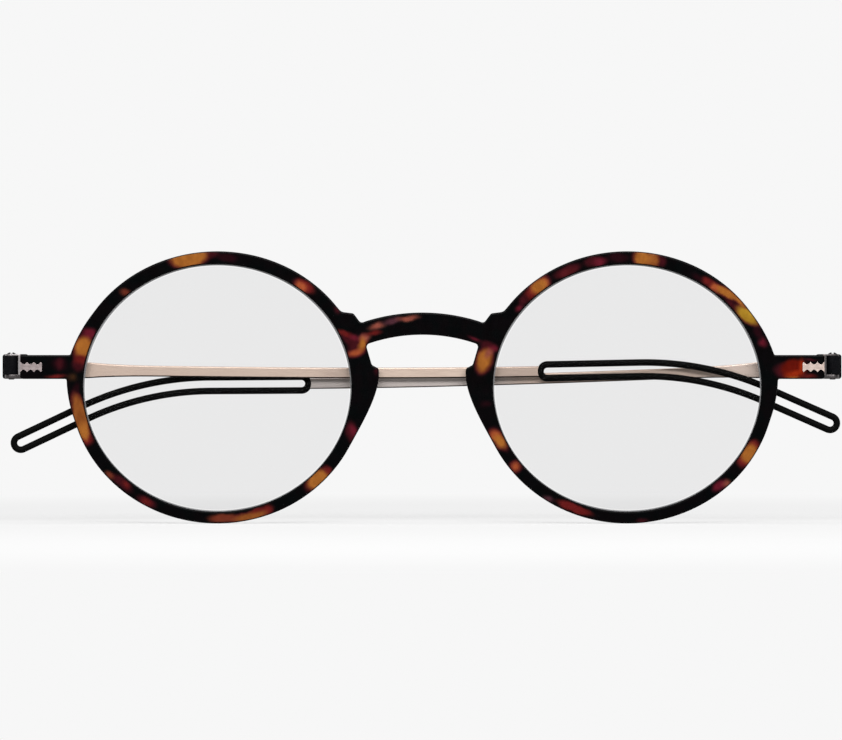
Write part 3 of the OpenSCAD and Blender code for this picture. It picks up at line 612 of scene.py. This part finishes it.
def half_outline():
    """The right half of the front's outline, clockwise from the bridge's top to its underside"""
    lead = 1.5 * BLEND_R
    notch = on_arch(SHOULDER.x - NOTCH_W, ARCH_TOP_R) - Vector((0, NOTCH_DIP))
    before = on_arch(notch.x - lead, ARCH_TOP_R)
    shelf = SHOULDER + SHELF
    a_shelf = math.pi - math.acos((RIM_X - shelf.x - lead) / RIM_A)
    a_top, a_low = rim_angle(LUG_TOP), rim_angle(LUG_LOW)
    first, last = a_top + RIM_LEAD, a_low - RIM_LEAD
    a_nose = -math.pi + math.asin((NOSE_RUN_OUT + RIM_Z) / RIM_B)
    run_out = on_rim(a_nose)
    flow = (on_rim(a_nose - 0.01) - run_out).normalized()
    crook = on_arch(NOSE_PEAK.x + CROOK_W, ARCH_LOW_R)
    after = on_arch(crook.x - lead, ARCH_LOW_R)
    brow, dent = NOSE_PEAK + BROW, NOSE_PEAK + DENT
    lug = [Vector(p) for p in ((LUG_END, LUG_TOP), (LUG_END, LUG_LOW))]
    centre = Vector((0, ARCH_Z))
    steps = 64
    upper = [on_rim(a_shelf + (first - a_shelf) * i / steps) for i in range(steps + 1)]
    lower = [on_rim(last + (a_nose - last) * i / steps) for i in range(steps + 1)]
    up = Vector((0, 1))
    return (
        arc(centre, ARCH_TOP_R, math.pi / 2, math.acos(before.x / ARCH_TOP_R), 12)
        + fillet(before, notch, SHOULDER, BLEND_R)
        + fillet(notch, SHOULDER, shelf, BLEND_R)
        + fillet(SHOULDER, shelf, on_rim(a_shelf), 2 * BLEND_R)
        + upper
        + fillet(on_rim(first), on_rim(a_top), lug[0], LUG_BLEND_R)
        + fillet(Vector((RIM_X, LUG_TOP)), lug[0], lug[1], LUG_CORNER_R)
        + fillet(lug[0], lug[1], Vector((RIM_X, LUG_LOW)), LUG_CORNER_R)
        + fillet(lug[1], on_rim(a_low), on_rim(last), LUG_BLEND_R)
        + lower
        + curve(run_out, run_out + NOSE_SWELL * flow, NOSE_PEAK - NOSE_FLAT * up, NOSE_PEAK, 20)[1:]
        + fillet(NOSE_PEAK, brow, dent, BROW_R)
        + fillet(brow, dent, crook, BLEND_R)
        + fillet(dent, crook, after, BLEND_R)
        + arc(centre, ARCH_LOW_R, math.acos(after.x / ARCH_LOW_R), math.pi / 2, 12)
    )


def grown(bm, rings):
    """Carries an ellipse of edges on through rings of (depth, half width, half height), closed
    at both ends"""
    centre = sum((v.co for v in bm.verts), Vector()) / len(bm.verts)
    first = list(bm.edges)
    last, size = first, None
    width = max(v.co.x for v in bm.verts) - centre.x
    height = max(v.co.z for v in bm.verts) - centre.z
    depth = centre.y
    for y, a, b in rings:
        made = bmesh.ops.extrude_edge_only(bm, edges=last)
        verts = picked(made, bmesh.types.BMVert)
        last = picked(made, bmesh.types.BMEdge)
        last = [e for e in last if all(v in verts for v in e.verts)]
        step = Matrix.Translation((centre.x, y, centre.z)) @ Matrix.Diagonal(
            (a / width, 1, b / height, 1)) @ Matrix.Translation((-centre.x, -depth, -centre.z))
        bmesh.ops.transform(bm, matrix=step, verts=verts)
        width, height, depth = a, b, y
    bmesh.ops.contextual_create(bm, geom=first)
    bmesh.ops.contextual_create(bm, geom=last)
    return closed(bm)


def fuller(bm, x=0):
    """Makes a shape broader above a lens's middle than below it"""
    for v in bm.verts:
        v.co.x = x + (v.co.x - x) * (1 + FULLNESS * v.co.z / (LENS_H / 2))
    return bm


def opening_tool(x):
    """What is cut away for a lens: a chamfered hole with a groove half way"""
    a, b, mid, half = LENS_W / 2, LENS_H / 2, FRONT_T / 2, LENS_EDGE / 2 + LENS_PLAY
    wide = CHAMFER + PAST
    bm = ring(x, -PAST, 0, a + wide, b + wide)
    grown(bm, [
        (CHAMFER, a, b), (mid - half, a, b), (mid, a + GROOVE, b + GROOVE), (mid + half, a, b),
        (FRONT_T - CHAMFER, a, b), (FRONT_T + PAST, a + wide, b + wide)])
    return fuller(bm, x)


def tang_half(s, play=0):
    """Half the height of the scalloped tang at a distance from its web"""
    return TANG_H / 2 + play - TANG_BITE * abs(math.sin(math.pi * s / TANG_PITCH))


def pocket_tool(side):
    """The pocket for a hinge plate's tang in the front of the lug"""
    reach = TANG_L + TANG_PLAY
    xs = [reach * i / TANG_STEPS for i in range(TANG_STEPS + 1)]
    top = [(LUG_END - s, LUG_Z + tang_half(s, TANG_PLAY)) for s in [-PAST] + xs]
    low = [(x, 2 * LUG_Z - z) for x, z in reversed(top)]
    points = [(side * x, z) for x, z in top + low]
    return slab(points, (-PAST, PLATE_SINK + TANG_T + TANG_PLAY))


def add_front():
    half = half_outline()
    points = half + [Vector((-p.x, p.y)) for p in reversed(half[1:-1])]
    bm = slab(points, (0, FRONT_T))
    soften(bm, EDGE_R, 6, lambda e: abs(e.verts[0].co.y - e.verts[1].co.y) < TINY)
    bm = combined(bm, [opening_tool(-LENS_X), opening_tool(LENS_X), pocket_tool(-1),
                       pocket_tool(1)])
    piece(bm, "moulded_front", "front", "front_frame", TORTOISE)


def add_lens(side):
    """A lens: its profile spun about its own axis and drawn out to an ellipse"""
    bm = bmesh.new()
    radius, mid, half = LENS_W / 2 - LENS_PLAY, FRONT_T / 2, LENS_EDGE / 2
    shares = [i / DOME_RINGS for i in range(DOME_RINGS + 1)]
    front = [(s * radius, mid - half - FRONT_BULGE * (1 - s * s)) for s in shares]
    back = [(s * radius, mid + half + BACK_BULGE * (1 - s * s)) for s in reversed(shares)]
    profile = front + [(radius + GROOVE - LENS_PLAY, mid)] + back
    verts = [bm.verts.new((r, y, 0)) for r, y in profile]
    edges = [bm.edges.new(pair) for pair in zip(verts, verts[1:])]
    bmesh.ops.spin(bm, geom=verts + edges, cent=(0, 0, 0), axis=(0, 1, 0), angle=2 * math.pi,
                   steps=LENS_SIDES, use_merge=True)
    closed(bm)
    bmesh.ops.scale(bm, vec=(1, 1, (LENS_H - 2 * LENS_PLAY) / (2 * radius)), verts=bm.verts)
    fuller(bm)
    name = SIDE_NAME[side]
    piece(bm, f"{name}_lens", "front", f"lens_{name}", LENS,
          Matrix.Translation((side * LENS_X, 0, 0)))


# The hinges

def block(x, y, z):
    """A block between two limits on each axis"""
    bm = bmesh.new()
    size = [b - a for a, b in (x, y, z)]
    middle = [(a + b) / 2 for a, b in (x, y, z)]
    place = Matrix.Translation(middle) @ Matrix.Diagonal((*size, 1))
    bmesh.ops.create_cube(bm, size=1, matrix=place)
    return bm


def rod(radius, low, high):
    """An upright rod on the hinge axis"""
    bm = bmesh.new()
    place = Matrix.Translation((0, 0, (low + high) / 2))
    bmesh.ops.create_cone(bm, cap_ends=True, segments=ROUND_SIDES, radius1=radius,
                          radius2=radius, depth=high - low, matrix=place)
    return bm


def cut_across(bm, point, normal):
    """Splits all faces along a plane"""
    everything = list(bm.verts) + list(bm.edges) + list(bm.faces)
    bmesh.ops.bisect_plane(bm, geom=everything, dist=TINY, plane_co=point, plane_no=normal)


def pushed_out(bm, faces, vec):
    """Extrudes faces by a vector and returns the faces at the new end. Their edges go along,
    or the old faces would stay inside."""
    edges = list(dict.fromkeys(e for f in faces for e in f.edges))
    made = bmesh.ops.extrude_face_region(bm, geom=faces + edges)
    bmesh.ops.translate(bm, verts=picked(made, bmesh.types.BMVert), vec=vec)
    return picked(made, bmesh.types.BMFace)


def add_hinge_plate(side):
    """A web with two round-ended ears pushed out of it, and the scalloped tang on its inner side"""
    front_y = PLATE_SINK - AXIS_Y[side]
    bm = block((WEB_IN, WEB_IN + WEB_T), (front_y, EAR_HALF), (FORK_LOW, FORK_TOP))
    cut_across(bm, (0, 0, GAP_LOW), (0, 0, 1))
    cut_across(bm, (0, 0, GAP_TOP), (0, 0, 1))
    cut_across(bm, (0, -EAR_HALF, 0), (0, 1, 0))
    bm.normal_update()
    for low, high in ((FORK_LOW, GAP_LOW), (GAP_TOP, FORK_TOP)):
        ear = [f for f in bm.faces if f.normal.x < -0.5 and f.calc_center_median().y > -EAR_HALF
               and low < f.calc_center_median().z < high]
        end = pushed_out(bm, ear, (-WEB_IN - EAR_HALF, 0, 0))
        corners = [e for f in end for e in f.edges
                   if abs(e.verts[0].co.z - e.verts[1].co.z) > TINY]
        # A hair less than half the ear, so that the two roundings don't meet
        bmesh.ops.bevel(bm, geom=corners, offset=EAR_HALF * 0.999, segments=16, profile=0.5,
                        affect="EDGES", material=-1)
    closed(bm)
    web = WEB_IN + WEB_T
    xs = [TANG_L * i / TANG_STEPS for i in range(TANG_STEPS + 1)]
    top = [(WEB_IN + PAST, LUG_Z + TANG_H / 2)] + [(web + s, LUG_Z + tang_half(s)) for s in xs]
    points = top + [(x, 2 * LUG_Z - z) for x, z in reversed(top)]
    tang = slab(points, (front_y, front_y + TANG_T))
    bm = combined(bm, [tang], "UNION")
    bm = combined(bm, [rod(SCREW_R + SCREW_PLAY, FORK_LOW - 1, FORK_TOP + 1)])
    soften(bm, PLATE_EDGE, 2)
    name = SIDE_NAME[side]
    piece(bm, f"{name}_hinge_fork", "front", f"hinge_plate_{name}", HINGE_STEEL, at_hinge(side))


def add_screw(side):
    """A slotted screw: its profile spun about the hinge axis, with the slot cut from the dome"""
    bm = bmesh.new()
    low = FORK_LOW - SCREW_STUB
    dome_r = (HEAD_R ** 2 + HEAD_H ** 2) / (2 * HEAD_H)
    centre = FORK_TOP + HEAD_H - dome_r
    steps = 10
    rise = math.asin(HEAD_R / dome_r)
    turns = [rise * (1 - i / steps) for i in range(steps + 1)]
    dome = [(dome_r * math.sin(t), centre + dome_r * math.cos(t)) for t in turns]
    root = SCREW_R - THREAD_DEPTH
    thread = []
    for i in range(THREAD_TURNS):
        z = low + TIP_CHAMFER + THREAD_PITCH * i
        thread += [(SCREW_R, z), (root, z + THREAD_PITCH / 2)]
    thread_end = low + TIP_CHAMFER + THREAD_PITCH * THREAD_TURNS
    profile = [(0, low), (root - TIP_CHAMFER, low)] + thread + [
        (SCREW_R, thread_end), (SCREW_R, FORK_TOP), (HEAD_R, FORK_TOP)] + dome
    verts = [bm.verts.new((r, 0, z)) for r, z in profile]
    edges = [bm.edges.new(pair) for pair in zip(verts, verts[1:])]
    bmesh.ops.spin(bm, geom=verts + edges, cent=(0, 0, 0), axis=(0, 0, 1), angle=2 * math.pi,
                   steps=ROUND_SIDES, use_merge=True)
    closed(bm)
    top = FORK_TOP + HEAD_H
    slot = block((-SLOT_W / 2, SLOT_W / 2), (-SLOT_REACH, SLOT_REACH),
                 (top - SLOT_DEPTH, top + 2 * PAST))
    bm = combined(bm, [slot])
    name = SIDE_NAME[side]
    piece(bm, f"{name}_hinge_screw", "front", f"hinge_screw_{name}", HINGE_STEEL, at_hinge(side))


def add_knuckle(side):
    """The black block on the screw, in one moulding with the collar that holds the strip"""
    k = KNUCKLE_HALF
    low, high = GAP_LOW + RUN_GAP, GAP_TOP - RUN_GAP
    inside = COLLAR_Y + BLOCK_SINK
    turned = arc(Vector((0, 0)), k, -math.pi / 2, 0, 12)
    points = [(-k, -k)] + [tuple(p) for p in turned] + [(k, inside), (-k, inside)]
    bm = soften(slab(points, (low, high), "z"), BLOCK_EDGE, 3)
    left, right = -COLLAR_BACK, COLLAR_FRONT
    bottom, top = FORK_LOW, FORK_LOW + COLLAR_H
    corners = [Vector(p) for p in ((left, bottom), (left, top), (right, top), (right, bottom))]
    rounded = []
    for i in range(4):
        rounded += fillet(corners[i - 1], corners[i], corners[(i + 1) % 4], COLLAR_R, 6)
    collar = slab(rounded, (COLLAR_Y, COLLAR_Y + COLLAR_T))
    soften(collar, COLLAR_EDGE, 4, lambda e: abs(e.verts[0].co.y - e.verts[1].co.y) < TINY)
    bm = combined(bm, [collar], "UNION")
    half, half_z = STRIP_T / 2 + TONGUE_PLAY, TONGUE_H / 2 + TONGUE_PLAY
    tongue = block((-TONGUE_PLAY, COLLAR_FRONT + 1), (ARM_OFFSET - half, ARM_OFFSET + half),
                   (TEMPLE_Z - half_z, TEMPLE_Z + half_z))
    bm = combined(bm, [rod(SCREW_R + SCREW_PLAY, low - 1, high + 1), tongue])
    name = SIDE_NAME[side]
    piece(bm, f"{name}_knuckle_and_collar", BODY_OF_SIDE[side], f"knuckle_{name}", NYLON,
          at_hinge(side))


# The temples

def middle(x, side):
    """Height of the strip's middle line at a distance: level in the root, then dropping and
    turning up"""
    length = LOOP_START[side] - ROOT_L
    t = max(0, x - ROOT_L) / length
    return length * (math.tan(TURN_UP) * t ** 3 / 3 - math.tan(LEAN[side]) * t)


def half_height(x):
    """Half the strip's height at a distance from the hinge axis"""
    left = max(0, min(1, (ROOT_L + TAPER_L - x) / TAPER_L))
    return (STRIP_H + (ROOT_H - STRIP_H) * left ** 3) / 2


def add_strip(side):
    """The steel strip with the tongue that the collar holds"""
    end = LOOP_START[side] - STRIP_END * LOOP_R
    taper_end = ROOT_L + TAPER_L
    xs = [COLLAR_FRONT, ROOT_L]
    xs += [ROOT_L + TAPER_L * i / TAPER_STEPS for i in range(1, TAPER_STEPS + 1)]
    xs += [taper_end + (end - taper_end) * i / STRIP_STEPS for i in range(1, STRIP_STEPS + 1)]
    top = [(0, TONGUE_H / 2), (COLLAR_FRONT, TONGUE_H / 2)]
    top += [(x, middle(x, side) + half_height(x)) for x in xs]
    low = [(x, middle(x, side) - half_height(x)) for x in reversed(xs)]
    low += [(COLLAR_FRONT, -TONGUE_H / 2), (0, -TONGUE_H / 2)]
    points = [(x, TEMPLE_Z + z) for x, z in top + low]
    bm = slab(points, (ARM_OFFSET - STRIP_T / 2, ARM_OFFSET + STRIP_T / 2))
    soften(bm, STRIP_EDGE, 4, lambda e: abs(e.verts[0].co.y - e.verts[1].co.y) < TINY)
    name = SIDE_NAME[side]
    piece(bm, f"{name}_steel_strip", BODY_OF_SIDE[side], f"temple_arm_{name}", STRIP_STEEL[side],
          at_hinge(side))


def swept(bm, section, moves):
    """Carries a section of edges along runs and turns, each from where the last one ended"""
    last = section
    for kind, value, *more in moves:
        if kind == "run":
            round_edges = [part for part in last if isinstance(part, bmesh.types.BMEdge)]
            made = bmesh.ops.extrude_edge_only(bm, edges=round_edges)
            verts = picked(made, bmesh.types.BMVert)
            bmesh.ops.translate(bm, verts=verts, vec=value)
            edges = [e for e in picked(made, bmesh.types.BMEdge)
                     if all(v in verts for v in e.verts)]
            last = verts + edges
        else:
            centre, steps = more
            made = bmesh.ops.spin(bm, geom=last, cent=centre, axis=(0, 1, 0), angle=value,
                                  steps=steps)
            last = made["geom_last"]
    return closed(bm)


def add_loop(side):
    """The rubber-coated loop: a round section carried round both ends and the bend behind the
    ear, until it meets itself"""
    slope = math.atan(math.tan(LEAN[side]) - math.tan(TURN_UP))
    along = Vector((math.cos(BEND_ANGLE), 0, -math.sin(BEND_ANGLE)))
    ear = Vector((LOOP_STRAIGHT, 0, -BEND_R))
    bend_end = ear + BEND_R * Vector((math.sin(BEND_ANGLE), 0, math.cos(BEND_ANGLE)))
    tip = bend_end + TIP_STRAIGHT * along
    bm = bmesh.new()
    start = Matrix.Translation((0, 0, -LOOP_R)) @ Matrix.Rotation(math.pi / 2, 4, "Y")
    bmesh.ops.create_circle(bm, cap_ends=False, segments=COAT_SIDES, radius=COAT_D / 2,
                            matrix=start)
    run = Vector((LOOP_STRAIGHT, 0, 0))
    swept(bm, list(bm.verts) + list(bm.edges), [
        ("turn", math.pi, (0, 0, 0), LOOP_STEPS), ("run", run),
        ("turn", BEND_ANGLE, ear, BEND_STEPS), ("run", TIP_STRAIGHT * along),
        ("turn", math.pi, tip, LOOP_STEPS), ("run", -TIP_STRAIGHT * along),
        ("turn", -BEND_ANGLE, ear, BEND_STEPS), ("run", -run)])
    x = LOOP_START[side]
    place = Matrix.Translation((x, ARM_OFFSET, TEMPLE_Z + middle(x, side))) @ Matrix.Rotation(
        slope, 4, "Y")
    name = SIDE_NAME[side]
    piece(bm, f"{name}_rubber_loop", BODY_OF_SIDE[side], f"temple_tip_{name}", RUBBER,
          at_hinge(side) @ place)


add_front()
for side in (-1, 1):
    add_lens(side)
    add_hinge_plate(side)
    add_screw(side)
    add_knuckle(side)
    add_strip(side)
    add_loop(side)


# Floor, light and camera

# How bright the plain background is, and the share of it that the floor loses in full shadow
BACKGROUND, SHADOW_SHARE = 0.93, 0.35
# The soft light from all round, what the floor gives back to matt surfaces, and the gloss from
# ahead and above, with the share of height between which the one turns into the other
FILL, BOUNCE, AHEAD, OVERHEAD, RISE = 0.14, 0.4, 0.1, 1.4, (0.25, 0.65)
# In metres: the floor's size, and how far from the object the shadow fades out and is whole
FLOOR_R, SHADOW_END, SHADOW_WHOLE = 6, 0.25, 0.1
CAMERA_SPOT, CAMERA_LENS, CAMERA_SENSOR = (-0.00021, -1.0026, 0.02509), 261.7, 36


def add_floor():
    """A plain pale floor. Far away it has the background's colour, and near the object it shows
    the object's shadow."""
    bm = bmesh.new()
    bmesh.ops.create_circle(bm, cap_ends=True, segments=96, radius=FLOOR_R)
    floor = as_object(bm, "floor")
    f = Finish("pale_floor")
    spot = f.node("TexCoord", out="Object")
    near = f.ramp(f.vector("LENGTH", spot, out="Value"), SHADOW_END, SHADOW_WHOLE)
    seen, gloss = f.seen(), f.ray("Glossy")
    share = near * SHADOW_SHARE
    glow = f.node("Emission", sockets={"Strength": (seen + gloss) * BACKGROUND * (1 - share)})
    grain = f.ramp(f.noise(spot, 40), 0.3, 0.7, 0.99, 1)
    level = (seen * share + (1 - seen) * (1 - gloss) * BOUNCE) * grain
    tint = f.node("CombineColor", sockets={0: level, 1: level, 2: level})
    matt = f.node("BsdfDiffuse", sockets={"Color": tint})
    both = f.node("AddShader", sockets={0: glow, 1: matt})
    f.node("OutputMaterial", sockets={"Surface": both})
    floor.data.materials.append(f.material)


def add_world():
    """Plain studio surroundings: pale to the camera, and for gloss dimmer towards the horizon than
    overhead"""
    world = bpy.data.worlds.new("studio")
    bpy.context.scene.world = world
    w = Tree(world)
    ahead, up = (w.node("SeparateXYZ", sockets={0: w.node("TexCoord", out="Generated")}, out=axis)
                 for axis in "YZ")
    seen, gloss = w.seen(), w.ray("Glossy")
    front = w.ramp(ahead, 0.2, -0.2)
    room = front * w.ramp(up, *RISE, AHEAD, OVERHEAD) + (1 - front) * BACKGROUND
    level = seen * BACKGROUND + gloss * room + (1 - seen) * (1 - gloss) * FILL
    background = w.node("Background", sockets={"Color": (1, 1, 1, 1), "Strength": level})
    w.node("OutputWorld", sockets={"Surface": background})


def add_lamp(name, spot, size, power):
    """A rectangular lamp that faces the object, in metres and watts"""
    data = bpy.data.lights.new(name, "AREA")
    data.shape, data.size, data.size_y, data.energy = "RECTANGLE", size[0], size[1], power
    lamp = bpy.data.objects.new(name, data)
    lamp.location = spot
    aim = Vector((0, 0, LENS_Z)) - Vector(spot)
    lamp.rotation_euler = aim.to_track_quat("-Z", "Y").to_euler()
    bpy.context.scene.collection.objects.link(lamp)


def add_camera():
    data = bpy.data.cameras.new("camera")
    data.sensor_fit, data.sensor_width, data.lens = "HORIZONTAL", CAMERA_SENSOR, CAMERA_LENS
    data.clip_start, data.clip_end = 0.01, 50
    camera = bpy.data.objects.new("camera", data)
    camera.location = CAMERA_SPOT
    camera.rotation_euler = (math.pi / 2, 0, 0)
    bpy.context.scene.collection.objects.link(camera)
    bpy.context.scene.camera = camera


add_floor()
add_world()
add_lamp("key_softbox", (0.05, -0.75, 0.46), (0.9, 0.25), 8.6)
add_lamp("top_softbox", (0, -0.05, 0.9), (0.6, 0.6), 2.4)
add_camera()
bpy.context.scene.view_settings.view_transform = "Standard"
